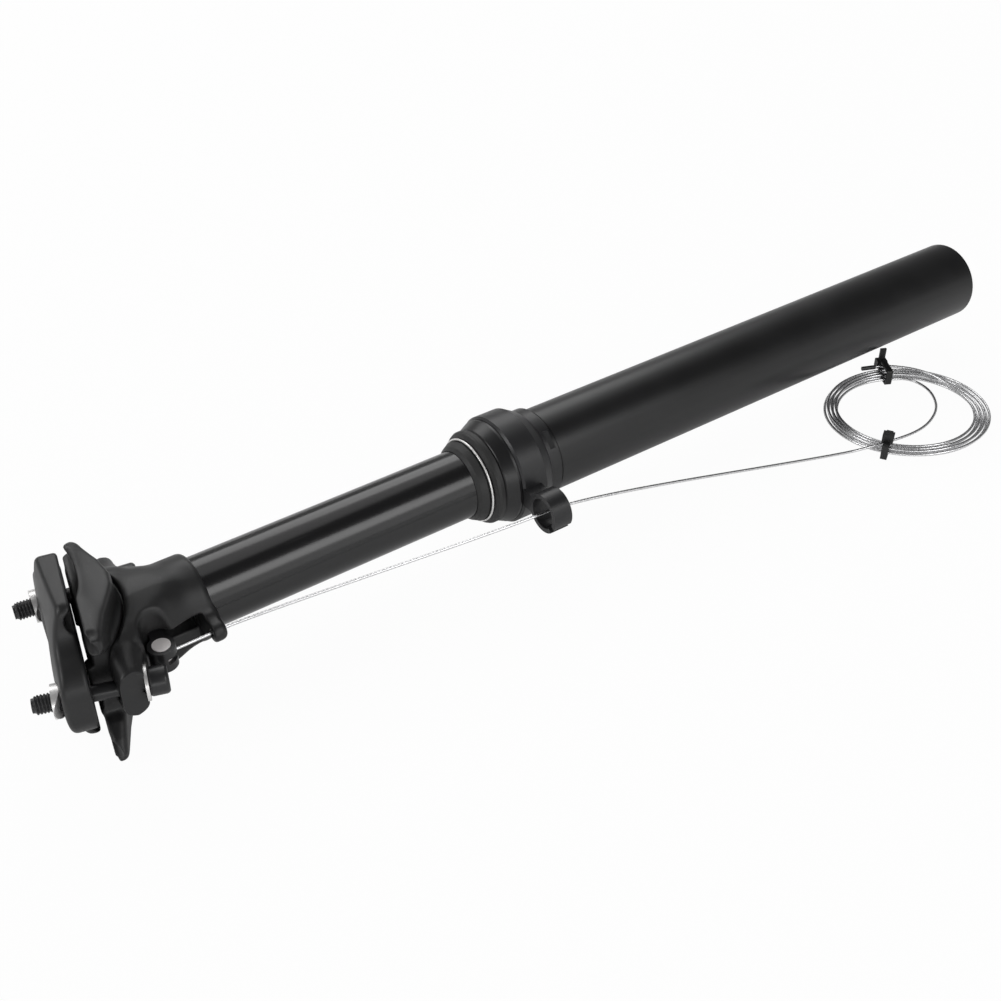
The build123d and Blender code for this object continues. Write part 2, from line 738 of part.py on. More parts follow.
def make_nipple():
    nipple = Pos(eye_x, cable_y, 0) * Cylinder(nipple_r, 2 * nipple_z)
    start = Vector(eye_x + nipple_start, cable_y, 0)
    return nipple - rod_between(start, start + Vector(nipple_r + overrun, 0, 0), cable_r + slip)


def make_pivot_pin():
    return Pos(pivot_x, pivot_y, 0) * Cylinder(pivot_r, pivot_length)


def make_valve_pin():
    head_x = nose_x + nose_r + slip
    pin = on_axis(head_x, head_x + valve_pin_head_length, valve_pin_head_r)
    return pin + on_axis(head_x, cartridge_top_x + valve_pin_length, valve_pin_r)


def cord(points):
    # straight runs joined by arcs as large as the runs allow
    points = [Vector(*p) for p in points]
    radii = []
    for before, here, after in zip(points, points[1:], points[2:]):
        half_turn = math.radians((here - before).get_angle(after - here)) / 2
        shorter = min((here - before).length, (after - here).length)
        radii.append(cord_arc_share * shorter / math.tan(half_turn))
    path = FilletPolyline(*points, radius=radii)
    start = path % 0
    tube = sweep(Plane(origin=points[0], z_dir=start) * Circle(cable_r), path)
    print("  radii", [round(r, 1) for r in radii], "volume share",
          round(tube.volume / (math.pi * cable_r**2 * path.length), 4))
    return tube


def eased(share):
    return (1 - math.cos(math.pi * min(max(share, 0), 1))) / 2


def oval_point(turn, radius, z):
    return coil_centre + long_way * (radius * math.cos(turn)) + cross_way * (
        radius * coil_cross_share * math.sin(turn)
    ) + Vector(0, 0, z)


def inner_radius(turn):
    return coil_inner_r - coil_spread * math.cos(turn)


def coil_point(turns):
    # the spiral runs out and in by turns, climbs a layer wherever it reverses,
    # and at last crosses over the turns to the outside
    turn = math.radians(coil_start_angle) + 2 * math.pi * turns
    period = coil_layer_turns + coil_climb_turns
    layer = min(int(turns / period), coil_layers - 1)
    in_layer = turns - layer * period
    outward_share = min(in_layer / coil_layer_turns, 1)
    beyond = in_layer - coil_layer_turns
    if layer % 2:
        outward_share = 1 - outward_share
    if layer < coil_layers - 1:
        level = layer + eased(beyond / coil_climb_turns)
        bulge = math.sin(math.pi * max(beyond, 0) / coil_climb_turns) ** 2
        outward_share += coil_bulge_share * bulge
    else:
        level = layer + eased(beyond / coil_lift_turns)
        outward_share += eased(beyond / coil_cross_turns)
    inner = inner_radius(turn)
    radius = inner + (coil_outer_r - inner) * outward_share
    return oval_point(turn, radius, lower_wire_z + coil_step * level)


def coil_tangent(turns):
    return (coil_point(turns + coil_probe) - coil_point(turns - coil_probe)).normalized()


def biarc(start, start_way, end, end_way):
    # two arcs that leave and arrive along the given directions
    chord = end - start
    both = start_way + end_way
    a = both.dot(both) - 4
    b = chord.dot(both)
    c = chord.dot(chord)
    reach = (b - math.sqrt(b * b - a * c)) / a
    middle = (start + start_way * reach + end - end_way * reach) / 2
    middle_way = (end - end_way * reach - start - start_way * reach).normalized()
    return [
        TangentArc(start, middle, tangent=start_way),
        TangentArc(middle, end, tangent=middle_way),
    ]


def coil_stations():
    spiral = coil_layers * coil_layer_turns + (coil_layers - 1) * coil_climb_turns
    steps = round(spiral * coil_steps_per_turn)
    crossing = [coil_cross_turns * i / coil_cross_steps for i in range(1, coil_cross_steps + 1)]
    return [spiral * i / steps for i in range(steps + 1)] + [spiral + t for t in crossing]


def make_coil():
    stations = coil_stations()
    places = [coil_point(t) for t in stations]
    ways = [coil_tangent(t) for t in stations]
    ways[0] = Vector(ways[0].X, ways[0].Y, 0).normalized()
    ways[-1] = Vector(ways[-1].X, ways[-1].Y, 0).normalized()
    lead = places[0] - ways[0] * (2 * cable_r)
    tip = places[-1] + ways[-1] * (2 * cable_r)
    edges = [Line(lead, places[0])]
    for i in range(len(stations) - 1):
        edges += biarc(places[i], ways[i], places[i + 1], ways[i + 1])
    edges.append(Line(places[-1], tip))
    path = Wire(edges)
    tube = sweep(Plane(origin=lead, z_dir=ways[0]) * Circle(cable_r), path)
    print("  coil turns", round(stations[-1], 2), "length", round(path.length),
          "least gap", round(coil_least_gap(path), 2),
          "volume share", round(tube.volume / (math.pi * cable_r**2 * path.length), 4))
    return tube, lead, tip, ways[-1]


def coil_least_gap(path):
    count = round(path.length / cable_r)
    points = [path @ (i / count) for i in range(count + 1)]
    apart = round(coil_inner_r / cable_r)
    least = min(
        (points[i] - points[j]).length
        for i in range(0, count, 2) for j in range(i + apart, count, 2)
    )
    return least - 2 * cable_r


def make_tie(angle, lock_outside, tail_length):
    # a band round both layers and the wire that crosses over them
    turn = math.radians(angle)
    inner = inner_radius(turn)
    outer = coil_outer_r + coil_bulge_share * (coil_outer_r - inner)
    middle = oval_point(turn, (outer + inner) / 2, lower_wire_z + coil_step * coil_layers / 2)
    outwards = (long_way * (coil_cross_share * math.cos(turn)) + cross_way * math.sin(turn)).normalized()
    across = oval_point(turn, outer, 0) - oval_point(turn, inner, 0)
    wide = across.dot(outwards) + 2 * (cable_r + tie_gap)
    high = coil_layers * coil_step + 2 * (cable_r + tie_gap)
    plane = Plane(origin=middle, x_dir=outwards, z_dir=(outwards.Y, -outwards.X, 0))
    outside = RectangleRounded(wide + 2 * tie_thickness, high + 2 * tie_thickness, tie_corner)
    band = extrude(plane * (outside - RectangleRounded(wide, high, tie_corner / 2)), tie_width / 2, both=True)
    side = wide / 2 + tie_thickness
    top = high / 2 + tie_thickness
    lock = Box(tie_lock, tie_lock, tie_lock_length)
    if lock_outside:
        lock_at = (side + (tie_lock - tie_thickness) / 2, top - tie_lock / 2 - tie_corner, 0)
        tail = Box(tie_thickness, tail_length + tie_lock, tie_width)
        tail_at = (lock_at[0], lock_at[1] + (tail_length + tie_lock) / 2, 0)
    else:
        lock_at = (0, top + (tie_lock - tie_thickness) / 2, 0)
        tail = Box(tail_length + tie_lock, tie_thickness, tie_width)
        tail_at = (lock_at[0] - (tail_length + tie_lock) / 2, lock_at[1], 0)
    return band + plane * Pos(*lock_at) * lock + plane * Pos(*tail_at) * tail


def make_ferrule(start, way):
    return rod_between(start, start + way * ferrule_length, ferrule_r)


save("outer_tube", make_outer_tube())
save("bottom_plug", make_plug())
save("plug_clip", make_clip())
save("rod_nut", make_rod_nut())
save("upper_bushing", make_bushing_top())
save("wiper_seal", make_wiper())
save("wiper_ring", make_garter())
save("collar_cap", make_cap())
save("cable_guide_ring", make_guide_ring())
save("stanchion", make_stanchion())
save("rotation_keys", make_keys())
save("lower_bushing", make_bushing_foot())
save("gas_cartridge", make_cartridge())
save("cartridge_rod", make_rod())
for side, name in ((1, "front"), (-1, "rear")):
    save(f"{name}_clamp_bolt", make_bolt(side))
    save(f"{name}_bolt_washer", make_washer(side))
    save(f"{name}_clamp_nut", make_nut(side))
save("upper_clamp", make_upper_clamp())
save("lower_cradle", make_cradle())
save("head", make_head())
save("actuator_lever", make_lever())
save("cable_nipple", make_nipple())
save("lever_pivot_pin", make_pivot_pin())
save("valve_pin", make_valve_pin())

coil, coil_start, coil_end, coil_way = make_coil()
save("cable_coil", coil)
save("coil_tie_upper", make_tie(tie_angle_upper, True, tie_tail))
save("coil_tie_lower", make_tie(tie_angle_lower, False, tie_stub))
save("cable_ferrule", make_ferrule(coil_end, coil_way))
loop_end = (loop_middle_x, loop_cable_y, 0)
head_run = rod_between(Vector(eye_x + nipple_start, cable_y, 0), Vector(head_end_x, cable_y, 0), cable_r)
save("cable_head_run", head_run)
save("cable_upper_run", cord([
    (head_end_x, cable_y, 0),
    (head_end_x + cable_exit, cable_y, 0),
    (loop_middle_x - cable_bend_x, loop_cable_y + cable_bend_y, 0),
    loop_end,
]))
save("cable_lower_run", cord(
    [loop_end, (loop_middle_x + cable_fall_x, loop_cable_y - cable_fall_y, 0)]
    + [coil_centre + Vector(x, y, floor_z + z) for x, y, z in coil_lead]
    + [coil_start - coil_tangent(0) * coil_arrival, coil_start]
))
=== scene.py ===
# Dropper seatpost on its side, with its control cable coiled beside it.
# Lengths are in metres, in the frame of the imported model: X runs down the post, Z is up.
import json
import math

import bmesh
import bpy
import numpy as np
import openvdb
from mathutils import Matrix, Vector


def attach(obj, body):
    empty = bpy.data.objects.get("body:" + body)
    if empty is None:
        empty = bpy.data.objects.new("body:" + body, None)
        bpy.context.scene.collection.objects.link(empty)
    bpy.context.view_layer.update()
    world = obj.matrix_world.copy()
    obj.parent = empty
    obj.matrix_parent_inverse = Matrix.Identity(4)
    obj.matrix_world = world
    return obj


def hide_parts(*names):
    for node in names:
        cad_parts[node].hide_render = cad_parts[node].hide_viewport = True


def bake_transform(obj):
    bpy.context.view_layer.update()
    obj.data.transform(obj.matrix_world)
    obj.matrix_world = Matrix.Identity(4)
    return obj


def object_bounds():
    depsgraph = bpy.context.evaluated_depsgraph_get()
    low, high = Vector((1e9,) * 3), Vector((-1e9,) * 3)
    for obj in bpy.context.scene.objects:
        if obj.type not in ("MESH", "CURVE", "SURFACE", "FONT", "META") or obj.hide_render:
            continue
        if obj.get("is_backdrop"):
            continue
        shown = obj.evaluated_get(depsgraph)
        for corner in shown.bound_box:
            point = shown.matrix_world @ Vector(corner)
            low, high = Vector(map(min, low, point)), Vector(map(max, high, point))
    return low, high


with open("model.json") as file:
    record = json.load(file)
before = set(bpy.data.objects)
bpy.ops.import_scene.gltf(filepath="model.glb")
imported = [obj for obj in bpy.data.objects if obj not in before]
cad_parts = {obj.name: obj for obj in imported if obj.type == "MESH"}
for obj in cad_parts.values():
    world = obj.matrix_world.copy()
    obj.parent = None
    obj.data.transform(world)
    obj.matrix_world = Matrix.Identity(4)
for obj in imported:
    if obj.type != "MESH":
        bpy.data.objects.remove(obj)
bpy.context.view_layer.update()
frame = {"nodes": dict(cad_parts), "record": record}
nodes = frame["nodes"]
mm = 0.001
print("loaded", len(nodes), "nodes")


# Shader expressions

class Patch:
    def __init__(self, tree, socket=None):
        self.tree = tree
        self.socket = socket

    def node(self, kind, settings=None, sockets=None):
        made = self.tree.nodes.new("ShaderNode" + kind)
        for name, value in (settings or {}).items():
            setattr(made, name, value)
        for name, value in (sockets or {}).items():
            if isinstance(value, Patch):
                self.tree.links.new(value.socket, made.inputs[name])
            else:
                made.inputs[name].default_value = value
        return made

    def out(self, kind, settings=None, sockets=None, name=0):
        return Patch(self.tree, self.node(kind, settings, sockets).outputs[name])

    def math(self, operation, first, second=0.0, clamp=False):
        return self.out("Math", {"operation": operation, "use_clamp": clamp}, {0: first, 1: second})

    def __add__(self, other):
        return self.math("ADD", self, other)

    def __radd__(self, other):
        return self.math("ADD", other, self)

    def __sub__(self, other):
        return self.math("SUBTRACT", self, other)

    def __rsub__(self, other):
        return self.math("SUBTRACT", other, self)

    def __mul__(self, other):
        return self.math("MULTIPLY", self, other)

    def clamped(self):
        return self.math("ADD", self, 0.0, True)

    def noise(self, place, scale=1.0, detail=3.0, rough=0.5):
        settings = {"Vector": place, "Scale": scale, "Detail": detail, "Roughness": rough}
        return self.out("TexNoise", {}, settings)

    def ramp(self, value, low, high):
        return self.out(
            "MapRange", {"clamp": True, "interpolation_type": "SMOOTHSTEP"},
            {"Value": value, "From Min": low, "From Max": high},
        )

    def blend(self, mask, first, second):
        return self.out("Mix", {"data_type": "RGBA"}, {0: mask, 6: first, 7: second}, 2)

    def stretched(self, place, scale):
        return self.out("Mapping", {}, {"Vector": place, "Scale": scale})


def startMaterial(name, settings):
    material = bpy.data.materials.new(name)
    material.use_nodes = True
    tree = material.node_tree
    shader = tree.nodes["Principled BSDF"]
    for socket, value in settings.items():
        shader.inputs[socket].default_value = value
    start = Patch(tree)
    place = start.out("TexCoord", name="Object")
    return material, shader, start, place


def feed(shader, socket, value):
    shader.id_data.links.new(value.socket, shader.inputs[socket])


def bumped(start, shader, height, strength, distance):
    bump = start.out("Bump", {}, {"Height": height, "Strength": strength, "Distance": distance})
    feed(shader, "Normal", bump)


# Camera, floor and light

view = {
    "azimuth": -35.07, "elevation": 38.31, "distance": 0.51379, "lens": 50.35,
    "right": 0.01356, "up": 0.01814,
}


def makeCamera():
    camera = bpy.data.objects.new("camera", bpy.data.cameras.new("camera"))
    bpy.context.scene.collection.objects.link(camera)
    azimuth, elevation = math.radians(view["azimuth"]), math.radians(view["elevation"])
    back = Vector((
        math.sin(azimuth) * math.cos(elevation), -math.cos(azimuth) * math.cos(elevation),
        math.sin(elevation),
    ))
    across = Vector((0, 0, 1)).cross(back).normalized()
    upward = back.cross(across)
    camera.location = back * view["distance"] - across * view["right"] - upward * view["up"]
    camera.rotation_mode = "QUATERNION"
    camera.rotation_quaternion = (-back).to_track_quat("-Z", "Y")
    camera.data.lens = view["lens"]
    camera.data.clip_start, camera.data.clip_end = 0.01, 20
    bpy.context.scene.camera = camera


floorLook = {"level": -0.0276, "size": 6.0, "shade": 0.92, "glow": 0.965, "mirrored": 0.25}


def makeFloor():
    mesh = bpy.data.meshes.new("floor")
    half = floorLook["size"] / 2
    sides = ((-half, -half), (half, -half), (half, half), (-half, half))
    mesh.from_pydata([(x, y, floorLook["level"]) for x, y in sides], [], [(0, 1, 2, 3)])
    floor = bpy.data.objects.new("floor", mesh)
    bpy.context.scene.collection.objects.link(floor)
    floor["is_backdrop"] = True
    material, shader, start, _ = startMaterial("paperWhite", {"Roughness": 0.9})
    shade = floorLook["shade"]
    shader.inputs["Base Color"].default_value = (shade, shade, shade, 1)
    path = start.node("LightPath")
    seen, passed, mirrored = (
        Patch(start.tree, path.outputs[f"Is {kind} Ray"]) for kind in ("Camera", "Transmission", "Glossy")
    )
    share = ((seen + passed) * floorLook["glow"] + mirrored * floorLook["mirrored"]).clamped()
    glow = start.out("Emission", {}, {"Color": (1, 1, 1, 1), "Strength": 1.0})
    mixed = start.out("MixShader", {}, {0: share, 1: Patch(start.tree, shader.outputs[0]), 2: glow})
    output = start.tree.nodes["Material Output"]
    start.tree.links.new(mixed.socket, output.inputs["Surface"])
    mesh.materials.append(material)


softboxes = [
    {"name": "backBox", "at": (0.1, 1.3, 1.1), "aim": (0, 0, 0), "size": (2.2, 0.9), "power": 14},
    {"name": "frontBox", "at": (-0.75, -1.35, 0.36), "aim": (0, 0, 0), "size": (1.7, 0.34), "power": 5},
    {"name": "frontHigh", "at": (0.4, -1.18, 0.92), "aim": (-0.1, 0, 0), "size": (0.75, 0.58), "power": 4.6},
    {"name": "frontLow", "at": (0.4, -1.455, 0.36), "aim": (-0.1, 0, 0), "size": (0.75, 0.68), "power": 1.4},
    {"name": "sideLow", "at": (1.25, -1.455, 0.36), "aim": (0.1, 0, 0), "size": (0.9, 0.5), "power": 0.6},
    {"name": "topBox", "at": (0.42, 0.46, 1.43), "aim": (-0.1, 0, 0), "size": (0.7, 1.15), "power": 2.0},
    {"name": "leftBox", "at": (-1.5, 0.2, 0.9), "aim": (-0.15, 0, 0), "size": (0.7, 0.7), "power": 7},
]


def makeLights():
    for box in softboxes:
        lamp = bpy.data.lights.new(box["name"], "AREA")
        lamp.shape = "RECTANGLE"
        lamp.size, lamp.size_y = box["size"]
        lamp.energy = box["power"]
        light = bpy.data.objects.new(box["name"], lamp)
        bpy.context.scene.collection.objects.link(light)
        light.location = box["at"]
        light.rotation_mode = "QUATERNION"
        light.rotation_quaternion = (Vector(box["aim"]) - light.location).to_track_quat("-Z", "Y")


worldLook = {"low": 0.4, "fall": 0.3, "from": -0.1, "to": 0.5}


def makeWorld():
    world = bpy.data.worlds.new("studio")
    bpy.context.scene.world = world
    world.use_nodes = True
    start = Patch(world.node_tree)
    path = start.node("LightPath")
    seen = Patch(start.tree, path.outputs["Is Camera Ray"])
    around = start.out("TexCoord", name="Generated")
    up = start.out("SeparateXYZ", {}, {0: around}, "Z")
    level = start.ramp(up, worldLook["from"], worldLook["to"]) * -worldLook["fall"] + worldLook["low"]
    strength = seen + (1 - seen) * level
    background = world.node_tree.nodes["Background"]
    background.inputs["Color"].default_value = (1, 1, 1, 1)
    start.tree.links.new(strength.socket, background.inputs["Strength"])


makeCamera()
makeFloor()
makeLights()
makeWorld()
bpy.context.scene.view_settings.view_transform = "Standard"
print("camera, floor and light made")


# Finishes

def shades(colour, lift):
    return (*colour, 1), (*[c * lift for c in colour], 1)


def makeTubeBlack():
    look = {
        "colour": (0.007, 0.007, 0.0075), "lift": 1.35, "rough": 0.34, "roughCloud": 0.08, "roughGrain": 0.05,
        "cloud": 60, "grain": 9000, "tone": (0.3, 0.75), "bump": 0.12, "depth": 0.00003,
    }
    material, shader, start, place = startMaterial("satinAnodised", {"Specular IOR Level": 0.55})
    cloud = start.noise(place, look["cloud"])
    grain = start.noise(place, look["grain"], detail=2)
    tone = start.ramp(cloud, *look["tone"])
    feed(shader, "Base Color", start.blend(tone, *shades(look["colour"], look["lift"])))
    uneven = (cloud - 0.5) * look["roughCloud"] + (grain - 0.5) * look["roughGrain"]
    feed(shader, "Roughness", look["rough"] + uneven)
    bumped(start, shader, grain, look["bump"], look["depth"])
    return material


def makeStanchionBlack():
    look = {
        "colour": (0.007, 0.007, 0.0075), "scuffed": (0.024, 0.024, 0.025), "scuffShare": 0.5, "rough": 0.2,
        "roughRings": 0.07, "roughScuffs": 0.05, "rings": (5200, 60, 60), "scuffs": (40, 900, 900),
        "mark": (0.62, 0.74), "bump": 0.08, "depth": 0.00002,
    }
    material, shader, start, place = startMaterial("glossAnodised", {"Specular IOR Level": 0.62})
    rings = start.noise(start.stretched(place, look["rings"]))
    scuffs = start.noise(start.stretched(place, look["scuffs"]), detail=4)
    mark = start.ramp(scuffs, *look["mark"])
    scuffed = start.blend(mark * look["scuffShare"], (*look["colour"], 1), (*look["scuffed"], 1))
    feed(shader, "Base Color", scuffed)
    feed(shader, "Roughness", look["rough"] + (rings - 0.5) * look["roughRings"] + mark * look["roughScuffs"])
    bumped(start, shader, rings, look["bump"], look["depth"])
    return material


def makeForgedBlack():
    look = {
        "colour": (0.011, 0.011, 0.0115), "worn": (0.03, 0.03, 0.031), "rough": 0.43, "roughCloud": 0.14,
        "roughGrain": 0.1, "cloud": 110, "grain": 2600, "edge": (0.53, 0.62), "share": 0.5,
        "bump": 0.35, "depth": 0.00006,
    }
    material, shader, start, place = startMaterial("blastedAnodised", {"Specular IOR Level": 0.5})
    grain = start.noise(place, look["grain"], detail=4, rough=0.65)
    cloud = start.noise(place, look["cloud"])
    edge = start.ramp(start.out("NewGeometry", name="Pointiness"), *look["edge"])
    wear = (edge * look["share"] + (cloud - 0.5) * look["share"]).clamped()
    feed(shader, "Base Color", start.blend(wear, (*look["colour"], 1), (*look["worn"], 1)))
    uneven = (cloud - 0.5) * look["roughCloud"] + (grain - 0.5) * look["roughGrain"]
    feed(shader, "Roughness", look["rough"] + uneven)
    bumped(start, shader, grain, look["bump"], look["depth"])
    return material


def makeNylonBlack(name, rough, colour, grainScale, depth):
    look = {"lift": 1.5, "cloud": 90, "roughCloud": 0.12, "roughGrain": 0.08, "bump": 0.4}
    material, shader, start, place = startMaterial(name, {"Specular IOR Level": 0.5})
    grain = start.noise(place, grainScale, rough=0.6)
    cloud = start.noise(place, look["cloud"], detail=2)
    feed(shader, "Base Color", start.blend(cloud, *shades(colour, look["lift"])))
    feed(shader, "Roughness", rough + (cloud - 0.5) * look["roughCloud"] + (grain - 0.5) * look["roughGrain"])
    bumped(start, shader, grain, look["bump"], depth)
    return material


def makeBrightMetal(name, colour, rough, stretch, metal=0.7):
    look = {
        "dulled": 0.72, "spots": 260, "stain": (0.58, 0.8), "roughLines": 0.18, "roughStain": 0.12,
        "bump": 0.15, "depth": 0.00002,
    }
    material, shader, start, place = startMaterial(name, {"Metallic": metal})
    lines = start.noise(start.stretched(place, stretch))
    stain = start.ramp(start.noise(place, look["spots"]), *look["stain"])
    feed(shader, "Base Color", start.blend(stain, *shades(colour, look["dulled"])))
    feed(shader, "Roughness", rough + (lines - 0.5) * look["roughLines"] + stain * look["roughStain"])
    bumped(start, shader, lines, look["bump"], look["depth"])
    return material


finishes = {
    "black_anodised": makeTubeBlack(),
    "gloss_anodised": makeStanchionBlack(),
    "satin_black": makeForgedBlack(),
    "black_nylon": makeNylonBlack("mouldedNylon", 0.36, (0.014, 0.014, 0.015), 1500, 0.00004),
    "seal_rubber": makeNylonBlack("sealRubber", 0.52, (0.016, 0.016, 0.016), 2200, 0.00005),
    "tie_nylon": makeNylonBlack("tieNylon", 0.42, (0.012, 0.012, 0.012), 1800, 0.00003),
    "bright_steel": makeBrightMetal("zincSteel", (0.9, 0.89, 0.88), 0.36, (900, 900, 900)),
    "black_steel": makeNylonBlack("oxideSteel", 0.34, (0.014, 0.014, 0.015), 2600, 0.00003),
    "wire_steel": makeBrightMetal("strandedWire", (0.82, 0.82, 0.83), 0.24, (1500, 1500, 1500), 1.0),
    "plain_aluminium": makeBrightMetal("turnedAluminium", (0.78, 0.78, 0.79), 0.32, (1800, 80, 80)),
    "chromed_rod": makeBrightMetal("chromedRod", (0.86, 0.86, 0.87), 0.08, (300, 900, 900)),
    "key_brass": makeBrightMetal("plainBrass", (0.8, 0.62, 0.3), 0.28, (120, 1600, 1600)),
}
slotOf = {s["node"]: s["material_slot"] for s in frame["record"]["subparts"]}
for name, node in nodes.items():
    node.data.materials.clear()
    node.data.materials.append(finishes[slotOf[name]])
# the cable nipple's light metal colour is pushed to near white and made mostly non-metallic: painted
# brightness standing in for the reflection and light it loses in the head's shade
nipplePaintedBright = makeBrightMetal("nipplePaintedBright", (0.97, 0.93, 0.92), 0.5, (900, 900, 900), 0.25)
for name, material in (("cable_ferrule", finishes["black_steel"]), ("cable_nipple", nipplePaintedBright)):
    nodes[name].data.materials[0] = material
print("finishes made")


# Control cable: a stranded wire from the head through the guide loop to its tied coil

cable = {
    "diameter": 0.0011, "strands": 6, "strandLay": 0.0085, "ringStep": 0.00055, "sides": 18, "groove": 0.2,
    "lineSteps": 14,
    "head": (-0.1563, -0.019, 0), "stop": (-0.136, -0.019, 0), "loop": (-0.0166, -0.0306, 0),
    "pastStop": (0.008, 0, 0), "beforeLoop": (-0.0137, 0.00025, 0), "pastLoop": (0.0129, -0.0004, 0),
}
coil = {
    "centre": (0.1616, -0.038), "outer": 0.034, "inner": 0.0281, "spread": 0.0006, "cross": 0.893,
    "longAngle": -20, "startAngle": 80, "layers": 2, "layerTurns": 3.16, "climbTurns": 0.5,
    "crossTurns": 0.2, "liftTurns": 0.065, "bulge": 0.12, "step": 0.00165, "bed": 0.0019, "perTurn": 20,
    "arrival": 0.0068, "near": 0.001,
}
coilLead = [
    (-48.6, -7.6, 5.4), (-33.1, -11.3, 5.2), (-9.3, -15.4, 5.2), (8.9, -8.4, 3.6),
    (18.6, 1.6, 2.3), (21.6, 10.4, 1.9),
]


def smoothLine(points):
    data = bpy.data.curves.new("line", "CURVE")
    data.dimensions = "3D"
    spline = data.splines.new("NURBS")
    spline.points.add(len(points) - 1)
    for place, point in zip(points, spline.points):
        point.co = (*place, 1)
    spline.order_u = 3
    spline.use_endpoint_u = True
    data.resolution_u = cable["lineSteps"]
    holder = bpy.data.objects.new("line", data)
    bpy.context.scene.collection.objects.link(holder)
    bpy.context.view_layer.update()
    mesh = bpy.data.meshes.new_from_object(holder)
    line = [v.co.copy() for v in mesh.vertices]
    bpy.data.objects.remove(holder)
    bpy.data.meshes.remove(mesh)
    bpy.data.curves.remove(data)
    return line


def evenly(line, step):
    far = [0.0]
    for a, b in zip(line, line[1:]):
        far.append(far[-1] + (b - a).length)
    count = max(2, round(far[-1] / step))
    wanted = np.linspace(0, far[-1], count + 1)
    columns = [np.interp(wanted, far, [p[i] for p in line]) for i in range(3)]
    return [Vector(p) for p in zip(*columns)], wanted


def newMesh(name, points, faces):
    mesh = bpy.data.meshes.new(name)
    mesh.from_pydata([tuple(p) for p in points], [], faces)
    mesh.update()
    piece = bpy.data.objects.new(name, mesh)
    bpy.context.scene.collection.objects.link(piece)
    return piece


def dress(piece, slot):
    for face in piece.data.polygons:
        face.use_smooth = len(face.vertices) == 4
    piece.data.materials.append(finishes[slot])


def makeStrandedWire(name, line, radius):
    points, far = evenly(line, cable["ringStep"])
    sides, strands = cable["sides"], cable["strands"]
    rings, side = [], None
    for i, point in enumerate(points):
        way = (points[min(i + 1, len(points) - 1)] - points[max(i - 1, 0)]).normalized()
        if side is None:
            side = way.orthogonal().normalized()
        side = (side - way * side.dot(way)).normalized()
        up = way.cross(side)
        twist = 2 * math.pi * far[i] / cable["strandLay"]
        for j in range(sides):
            angle = 2 * math.pi * j / sides
            lobe = abs(math.cos(strands / 2 * (angle - twist)))
            r = radius * (1 - cable["groove"] + cable["groove"] * lobe)
            rings.append(point + side * (r * math.cos(angle)) + up * (r * math.sin(angle)))
    faces = []
    for i in range(len(points) - 1):
        for j in range(sides):
            a, b = i * sides + j, i * sides + (j + 1) % sides
            faces.append((a, b, b + sides, a + sides))
    faces.append(tuple(range(sides))[::-1])
    faces.append(tuple(range((len(points) - 1) * sides, len(points) * sides)))
    wire = newMesh(name, rings, faces)
    dress(wire, "wire_steel")
    return wire, points


def eased(share):
    return (1 - math.cos(math.pi * min(max(share, 0), 1))) / 2


def coilPoint(turns):
    turn = math.radians(coil["startAngle"]) + 2 * math.pi * turns
    period = coil["layerTurns"] + coil["climbTurns"]
    layer = min(int(turns / period), coil["layers"] - 1)
    inLayer = turns - layer * period
    outward = min(inLayer / coil["layerTurns"], 1)
    beyond = inLayer - coil["layerTurns"]
    if layer % 2:
        outward = 1 - outward
    if layer < coil["layers"] - 1:
        level = layer + eased(beyond / coil["climbTurns"])
        outward += coil["bulge"] * math.sin(math.pi * max(beyond, 0) / coil["climbTurns"]) ** 2
    else:
        level = layer + eased(beyond / coil["liftTurns"])
        outward += eased(beyond / coil["crossTurns"])
    inner = coil["inner"] - coil["spread"] * math.cos(turn)
    radius = inner + (coil["outer"] - inner) * outward
    along, across = radius * math.cos(turn), radius * coil["cross"] * math.sin(turn)
    c, s = math.cos(math.radians(coil["longAngle"])), math.sin(math.radians(coil["longAngle"]))
    return Vector((
        coil["centre"][0] + along * c - across * s, coil["centre"][1] + along * s + across * c,
        floorLook["level"] + coil["bed"] + coil["step"] * level,
    ))


def coilWay(turns):
    return (coilPoint(turns + coil["near"]) - coilPoint(turns - coil["near"])).normalized()


